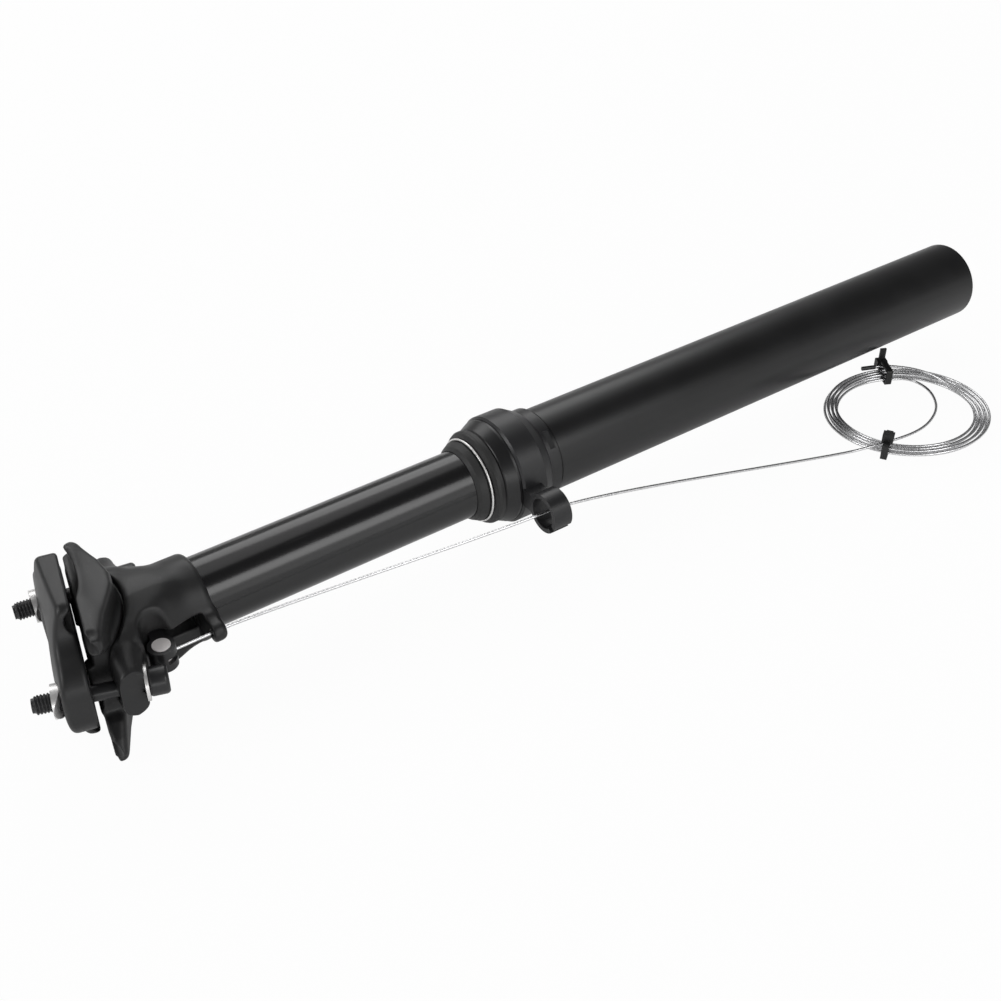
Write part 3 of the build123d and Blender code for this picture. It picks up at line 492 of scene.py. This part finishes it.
def makeCable():
    radius = cable["diameter"] / 2
    head, stop, loop = (Vector(cable[place]) for place in ("head", "stop", "loop"))
    pastStop, beforeLoop, pastLoop = (Vector(cable[p]) for p in ("pastStop", "beforeLoop", "pastLoop"))
    headWire, _ = makeStrandedWire("headWire", [head, stop], radius)
    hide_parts("cable_head_run")
    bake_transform(headWire)

    upperRoute = smoothLine([stop, stop + pastStop, loop + beforeLoop, loop])
    upperWire, upperLine = makeStrandedWire("upperWire", upperRoute, radius)
    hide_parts("cable_upper_run")
    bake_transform(upperWire)

    climbs = coil["climbTurns"] * (coil["layers"] - 1)
    turns = coil["layers"] * coil["layerTurns"] + climbs + coil["crossTurns"]
    first, last = coilPoint(0), coilPoint(turns)
    way, lastWay = coilWay(0), coilWay(turns)
    way.z = lastWay.z = 0
    way.normalize()
    lastWay.normalize()
    lead = first - way * cable["diameter"]
    count = round(turns * coil["perTurn"])
    # the spline cuts the corners of its points, so they stand a little outside its course
    swing = 1 / math.cos(math.pi / coil["perTurn"])
    wound = []
    for i in range(1, count):
        point = coilPoint(turns * (i - 0.5) / (count - 1))
        centre = Vector((*coil["centre"], point.z))
        wound.append(centre + (point - centre) * (1 + (swing - 1) / 2))
    surface = Vector((*coil["centre"], floorLook["level"]))
    lowerRoute = [
        loop, loop + pastLoop, *(surface + Vector(p) * mm for p in coilLead),
        lead - coilWay(0) * coil["arrival"], lead, *wound, last, last + lastWay * cable["diameter"],
    ]
    lowerWire, lowerLine = makeStrandedWire("lowerWire", smoothLine(lowerRoute), radius)
    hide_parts("cable_lower_run", "cable_coil")
    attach(lowerWire, "lower_post")

    def lengthOf(points):
        return sum((b - a).length for a, b in zip(points, points[1:]))

    print("cable lengths", round(lengthOf(upperLine), 4), round(lengthOf(lowerLine), 4))
    lengthOf(upperLine)
    lengthOf(lowerLine)


makeCable()
print("cable made")


# Forged parts, carved from smooth distance fields in millimetres

clamp = {
    "centre": (-191.0, 4.0), "lean": 13.0, "seat": 30.0, "railZ": 22.0, "railV": -16.5, "railR": 3.6,
    "boltU": 22.0, "boltSplay": 5.0, "boltSeat": 31.2, "hole": 3.3,
}
leanSin, leanCos = math.sin(math.radians(clamp["lean"])), math.cos(math.radians(clamp["lean"]))


def clampAxes(x, y):
    dx, dy = x - clamp["centre"][0], y - clamp["centre"][1]
    return dx * leanSin + dy * leanCos, dy * leanSin - dx * leanCos


def fromClamp(u, v):
    return (
        clamp["centre"][0] + u * leanSin - v * leanCos, clamp["centre"][1] + u * leanCos + v * leanSin,
    )


def join(a, b, soft):
    h = np.maximum(soft - np.abs(a - b), 0) / soft
    return np.minimum(a, b) - h * h * soft / 4


def meet(a, b, soft):
    return -join(-a, -b, soft)


def cut(a, b, soft):
    return meet(a, -b, soft)


def slab(w, low, high):
    return np.maximum(low - w, w - high)


def block(a, b, halfA, halfB, corner):
    qa, qb = np.abs(a) - halfA + corner, np.abs(b) - halfB + corner
    return np.hypot(np.maximum(qa, 0), np.maximum(qb, 0)) + np.minimum(np.maximum(qa, qb), 0) - corner


def outline(a, b, points, corner):
    # signed distance to a closed outline, rounded at its corners
    points = [np.array(p, dtype=float) for p in points]
    least = np.full(a.shape, np.inf, np.float32)
    inside = np.zeros(a.shape, bool)
    for (ax, ay), (bx, by) in zip(points, points[1:] + points[:1]):
        ex, ey = bx - ax, by - ay
        wa, wb = a - ax, b - ay
        share = np.clip((wa * ex + wb * ey) / (ex * ex + ey * ey), 0, 1)
        least = np.minimum(least, (wa - ex * share) ** 2 + (wb - ey * share) ** 2)
        crosses = (ay > b) != (by > b)
        if ey:
            inside ^= crosses & (a < ex * (b - ay) / ey + ax)
    away = np.sqrt(least)
    return np.where(inside, -away, away) - corner


def ellipsoid(u, v, w, centre, radii):
    parts = [((place - c) / r) ** 2 for place, c, r in zip((u, v, w), centre, radii)]
    return (np.sqrt(sum(parts)) - 1) * min(radii)


def railTrough(v, w):
    return np.hypot(w - clamp["railZ"], v - clamp["railV"]) - clamp["railR"]


def boltFrame(u, v, side):
    # along the bolt from its nut, and across it
    tilt = side * math.radians(clamp["boltSplay"])
    du = u - side * clamp["boltU"]
    return -v * math.cos(tilt) + du * math.sin(tilt), du * math.cos(tilt) + v * math.sin(tilt)


carving = {"step": 0.3, "band": 10, "passes": 2}


def turnOut(piece, passes=0):
    # smooth the mesh, and turn its faces outwards
    shaper = bmesh.new()
    shaper.from_mesh(piece.data)
    for _ in range(passes):
        bmesh.ops.smooth_vert(
            shaper, verts=shaper.verts, factor=0.5, use_axis_x=True, use_axis_y=True, use_axis_z=True
        )
    bmesh.ops.recalc_face_normals(shaper, faces=shaper.faces)
    shaper.to_mesh(piece.data)
    shaper.free()


def carve(name, low, high, shape):
    step = carving["step"]
    counts = [int((h - l) / step) + 1 for l, h in zip(low, high)]
    axes = [np.float32(l) + np.float32(step) * np.arange(n, dtype=np.float32) for l, n in zip(low, counts)]
    field = shape(*np.meshgrid(*axes, indexing="ij"))
    grid = openvdb.FloatGrid(carving["band"] * step)
    grid.copyFromArray(np.ascontiguousarray(field, dtype=np.float32))
    points, _, quads = grid.convertToPolygons(0, 0)
    points = (points * step + np.array(low)) * mm
    piece = newMesh(name, points, [tuple(int(i) for i in q) for q in quads])
    turnOut(piece, carving["passes"])
    dress(piece, "satin_black")
    print(name, len(piece.data.polygons), "faces")
    return piece


upperShape = {
    "block": (14.6, 27.3, 3.4), "lobes": (30.2, 12.6, 8.6), "waist": 15.0,
    "over": -5.6, "crown": 420, "fall": 4.4, "skew": 0.11, "tip": 27, "overSlope": 0.93, "overRound": 1.8,
    "under": -15.4, "underRound": 1.4, "troughRound": 0.5,
    "pocket": ((0, -4.4, 0), (14.0, 5.4, 17.5)), "pocketRound": 1.2,
    "nutR": 7.2, "nutHole": 5.7, "nutRounds": (0.2, 0.5), "slot": 1.7, "slotRound": 0.8,
}


def upperClampField(x, y, z):
    s = upperShape
    u, v = clampAxes(x, y)
    plan = join(block(u, z, *s["block"]), block(u, z, *s["lobes"]), s["waist"])
    droop = (s["fall"] - s["skew"] * u) * (z / s["tip"]) ** 2
    top = v - s["over"] + u * u / (2 * s["crown"]) + droop
    body = meet(meet(plan, top * s["overSlope"], s["overRound"]), s["under"] - v, s["underRound"])
    body = cut(body, railTrough(v, np.abs(z)), s["troughRound"])
    body = cut(body, ellipsoid(u, v, z, *s["pocket"]), s["pocketRound"])
    for side in (-1, 1):
        _, across = boltFrame(u, v, side)
        drum = np.hypot(u - side * clamp["boltU"], v) - s["nutR"]
        seat = meet(drum, np.hypot(across, z) - s["nutHole"], s["nutRounds"][0])
        body = cut(body, seat, s["nutRounds"][1])
        slot = np.hypot(np.maximum(np.abs(across) - s["slot"], 0), z) - clamp["hole"]
        body = cut(body, slot, s["slotRound"])
    return body


cradleShape = {
    "side": [
        (20.6, -18.3), (20.4, -19.4), (15.0, -21.4), (8.6, -25.2), (2.0, -27.4), (-3.0, -27.4),
        (-10.6, -25.0), (-17.5, -22.8), (-24.0, -21.2), (-29.2, -19.9), (-29.2, -19.2),
    ],
    "plan": [
        (14.5, 25.6), (18.0, 23.6), (20.3, 21.0), (20.8, 17.0), (20.8, 14.3), (-17.5, 14.3), (-22.0, 16.2),
        (-26.4, 19.2), (-29.2, 22.0), (-28.4, 24.2), (-25.0, 25.6),
    ],
    "sideCorner": 1.7, "planCorner": 1.6, "outer": 27.4, "flare": 0.34, "flareV": 17.6, "wallSlope": 0.9,
    "wingRounds": (2.2, 2.0),
    "hollow": ((2.0, -24.0, 29.0), (15.0, 5.5, 4.4)), "hollowRound": 2.6,
    "scoop": ((3.5, -16.3, 27.6), (12.0, 3.6, 5.2)), "scoopRound": 1.2,
    "dimple": ((-27.4, -19.4, 28.6), (2.9, 2.9, 2.9)), "dimpleRound": 0.8,
    "web": (19.0, 14.0, 3.0), "webTop": -17.6, "webRise": 2.0, "riseU": 13.5, "riseZ": 6.5,
    "webRounds": (1.2, 0.5, 3.0), "grooveRound": 0.6, "seatZ": 12.5, "seatRounds": (0.3, 0.4),
}


def cradleField(x, y, z):
    s = cradleShape
    u, v = clampAxes(x, y)
    w = np.abs(z)
    side = outline(u, v, s["side"], s["sideCorner"])
    plan = outline(u, w, s["plan"], s["planCorner"])
    wall = (w - s["outer"] + s["flare"] * (-v - s["flareV"])) * s["wallSlope"]
    wing = meet(meet(side, plan, s["wingRounds"][0]), wall, s["wingRounds"][1])
    for dent in ("hollow", "scoop", "dimple"):
        wing = cut(wing, ellipsoid(u, v, w, *s[dent]), s[dent + "Round"])
    rise = s["webRise"] * np.clip(np.abs(u) - s["riseU"], 0, 1) * np.clip(s["riseZ"] - w, 0, 1)
    away = np.hypot(u, v) - clamp["seat"]
    web = meet(block(u, z, *s["web"]), v - s["webTop"] - rise, s["webRounds"][0])
    body = join(wing, meet(web, away, s["webRounds"][1]), s["webRounds"][2])
    body = cut(body, railTrough(v, w), s["grooveRound"])
    return cut(body, meet(-away, w - s["seatZ"], s["seatRounds"][0]), s["seatRounds"][1])


headShape = {
    "side": [
        (26.2, -24.2), (28.0, -27.8), (27.4, -29.4), (17.4, -30.6), (9.5, -34.6), (0.0, -38.4), (-4.0, -38.4),
        (-9.5, -35.4), (-17.8, -29.8), (-27.0, -29.2), (-29.6, -27.4), (-28.2, -25.4), (-22.0, -24.4),
        (0.0, -25.0),
    ],
    "corner": 2.3, "half": 12.6, "thinning": (3.8, 12, 18, 1.3), "yokeSlope": 0.94, "yokeRound": 5.5,
    "tube": (-157.4, -136.0, 14.8), "tubeRound": 2.6, "fillet": (8.0, 5.0, 8, 14),
    "flange": (4.0, -1.0, 31.7), "flangeHalf": 12.2, "flangeSpan": (-1.0, 17.0),
    "flangeRounds": (1.6, 5.0, 4.0),
    "finger": (9, 3.4), "fingerSpan": (-5.8, 0.2), "fingerRounds": (2.4, 3.0),
    "seatPlay": 0.05, "belly": (31.2, 12.1), "seatRounds": (0.5, 0.3, 0.5),
    "cavity": (-158.2, -140.8, 4.5), "cavityTop": 12.6, "cavityRounds": (0.4, 0.5, 0.6),
    "flat": -9.4, "notchRounds": (0.4, 1.5, 1.2), "cable": -19.0, "wireHole": 1.0,
    "eye": (-156.8, 5.6), "eyeRounds": (0.6, 1.2), "pin": (-153.4, 8.6, 2.05), "pinHalf": 9.0,
    "boltStart": 15, "spotFace": 6.1, "boltRounds": (0.2, 0.5, 0.3, 0.6),
    "bore": 12.54, "boreEnd": 1.4, "boreRounds": (0.3, 0.4),
}
far = 60


def headField(x, y, z):
    s = headShape
    u, v = clampAxes(x, y)
    w = np.abs(z)
    amount, thinFrom, thinOver, power = s["thinning"]
    width = s["half"] - amount * np.clip((np.abs(u) - thinFrom) / thinOver, 0, 1) ** power
    yoke = meet(outline(u, v, s["side"], s["corner"]), (w - width) * s["yokeSlope"], s["yokeRound"])
    start, end, radius = s["tube"]
    tube = meet(np.hypot(y, z) - radius, slab(x, start, end), s["tubeRound"])
    least, more, fromY, overY = s["fillet"]
    body = join(yoke, tube, least + more * np.clip((fromY - y) / overY, 0, 1))

    flangeU, flangeV, flangeR = s["flange"]
    flange = np.hypot(u - flangeU, v - flangeV) - flangeR
    flange = meet(flange, w - s["flangeHalf"], s["flangeRounds"][0])
    flange = meet(flange, np.abs(u - s["flangeSpan"][0]) - s["flangeSpan"][1], s["flangeRounds"][1])
    body = join(body, flange, s["flangeRounds"][2])

    reach, fingerR = s["finger"]
    offWire = y - s["cable"]
    finger = np.hypot(offWire - np.clip(offWire, 0, reach), z) - fingerR
    finger = meet(finger, slab(x, end + s["fingerSpan"][0], end + s["fingerSpan"][1]), s["fingerRounds"][0])
    body = join(body, finger, s["fingerRounds"][1])

    away = np.hypot(u, v)
    body = cut(body, away - clamp["seat"] - s["seatPlay"], s["seatRounds"][0])
    bellyR, bellyZ = s["belly"]
    body = cut(body, meet(away - bellyR, bellyZ - w, s["seatRounds"][1]), s["seatRounds"][2])

    low, high, half = s["cavity"]
    hollow = meet(slab(x, low, high), slab(y, -far, s["cavityTop"]), s["cavityRounds"][0])
    body = cut(body, meet(hollow, w - half, s["cavityRounds"][1]), s["cavityRounds"][2])
    notch = meet(slab(x, low, high), y - s["flat"], s["notchRounds"][0])
    body = cut(body, meet(notch, slab(z, -far, half), s["notchRounds"][1]), s["notchRounds"][2])
    eyeX, eyeR = s["eye"]
    eye = meet(np.hypot(x - eyeX, offWire) - eyeR, slab(z, -far, far), s["eyeRounds"][0])
    body = cut(body, eye, s["eyeRounds"][1])
    pinX, pinY, pinR = s["pin"]
    pinHole = np.hypot(x - pinX, y - pinY) - pinR
    body = cut(body, meet(pinHole, w - s["pinHalf"], s["boreRounds"][0]), s["boreRounds"][0])

    rounds = s["boltRounds"]
    for bolt in (-1, 1):
        down, across = boltFrame(u, v, bolt)
        away = np.hypot(across, z)
        body = cut(body, meet(away - clamp["hole"], s["boltStart"] - down, rounds[0]), rounds[1])
        body = cut(body, meet(away - s["spotFace"], clamp["boltSeat"] - down, rounds[2]), rounds[3])
    bore = meet(np.hypot(y, z) - s["bore"], high + s["boreEnd"] - x, s["boreRounds"][0])
    body = cut(body, bore, s["boreRounds"][1])
    return cut(body, np.hypot(offWire, z) - s["wireHole"], s["boreRounds"][0])


forgings = [
    ("upperClamp", "upper_clamp", "saddle_clamp", (-195, -29, -29), (-165, 38, 29), upperClampField),
    ("lowerCradle", "lower_cradle", "saddle_clamp", (-184, -33, -29), (-157, 25, 29), cradleField),
    ("postHead", "head", "upper_post", (-176, -30, -18), (-133, 36, 18), headField),
]
for name, node, body, low, high, field in forgings:
    piece = carve(name, low, high, field)
    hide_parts(node)
    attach(piece, body)
print("forgings made")


# Clamp bolts with their rolled threads

boltShape = {
    "pitch": 1.0, "root": 2.52, "crest": 3.0, "steepness": 1.35, "step": 0.11, "sides": 26,
    "tip": -1.8, "tipCut": 0.25, "tipPlain": 0.6, "runIn": 0.6, "threadEnd": 12.0, "runOut": 1.5,
    "shank": 2.6, "seat": 32.25, "headR": 4.6, "headLength": 6.0,
    "keyR": 2.9, "keyDepth": 3.0, "keyTaper": 0.97,
    "headRounds": [(0, 0.86), (0.35, 0.97), (0.9, 1), (4.9, 1), (5.6, 0.95), (6.0, 0.84)],
}


def boltLevels():
    # along the bolt from its nut: the level, how much thread it has, and its radius where it has none
    b = boltShape
    levels = []
    for i in range(int((b["seat"] - b["tip"]) / b["step"]) + 1):
        level = b["tip"] + b["step"] * i
        thread = min(
            (level - b["tip"] - b["tipPlain"]) / b["runIn"], (b["threadEnd"] - level) / b["runOut"]
        )
        levels.append((level, min(1, max(thread, 0)), None if level < b["threadEnd"] else b["shank"]))
    levels += [(b["seat"] + along, 0, b["headR"] * share) for along, share in b["headRounds"]]
    top = b["seat"] + b["headLength"]
    return levels + [(top, 0, b["keyR"]), (top - b["keyDepth"], 0, b["keyR"] * b["keyTaper"])]


def makeBolt(side):
    b = boltShape
    sides = b["sides"]
    tilt = math.radians(clamp["lean"] - side * clamp["boltSplay"])
    down = Vector((math.cos(tilt), -math.sin(tilt), 0))
    across, up = Vector((-down.y, down.x, 0)), Vector((0, 0, 1))
    start = Vector((*fromClamp(side * clamp["boltU"], 0), 0))
    points, faces = [], []
    levels = boltLevels()
    for level, thread, radius in levels:
        for j in range(sides):
            angle = 2 * math.pi * j / sides
            r = radius
            if radius is None:
                wave = abs(2 * ((level / b["pitch"] - j / sides) % 1) - 1)
                height = min(1, b["steepness"] * wave) * thread
                r = b["root"] + (b["crest"] - b["root"]) * height - b["tipCut"] * (1 - thread)
            spoke = across * (r * math.cos(angle)) + up * (r * math.sin(angle))
            points.append((start + down * level + spoke) * mm)
    for i in range(len(levels) - 1):
        for j in range(sides):
            k = (j + 1) % sides
            faces.append((i * sides + j, i * sides + k, (i + 1) * sides + k, (i + 1) * sides + j))
    faces.append(tuple(range(sides)))
    faces.append(tuple(range((len(levels) - 1) * sides, len(levels) * sides)))
    name = "front" if side > 0 else "rear"
    bolt = newMesh(name + "Bolt", points, faces)
    turnOut(bolt)
    dress(bolt, "black_steel")
    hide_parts(name + "_clamp_bolt")
    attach(bolt, "upper_post")


for side in (-1, 1):
    makeBolt(side)
print("bolts made")


# Garter ring of the wiper, thinner than its solid

ringShape = {"share": 0.29, "around": 128, "sides": 12}


def makeGarterRing():
    solid = nodes["wiper_ring"]
    places = [solid.matrix_world @ v.co for v in solid.data.vertices]
    away = [math.hypot(p.y, p.z) for p in places]
    middle = (min(p.x for p in places) + max(p.x for p in places)) / 2
    thick = ringShape["share"] * (max(away) - min(away))
    around, sides = ringShape["around"], ringShape["sides"]
    points, faces = [], []
    for i in range(around):
        turn = 2 * math.pi * i / around
        for j in range(sides):
            angle = 2 * math.pi * j / sides
            out = max(away) - thick + thick * math.cos(angle)
            points.append((middle + thick * math.sin(angle), out * math.cos(turn), out * math.sin(turn)))
            k, m = (j + 1) % sides, (i + 1) % around
            faces.append((i * sides + j, i * sides + k, m * sides + k, m * sides + j))
    ring = newMesh("garterRing", points, faces)
    dress(ring, "bright_steel")
    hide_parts("wiper_ring")
    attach(ring, "lower_post")


makeGarterRing()
print("ring made")


low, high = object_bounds()
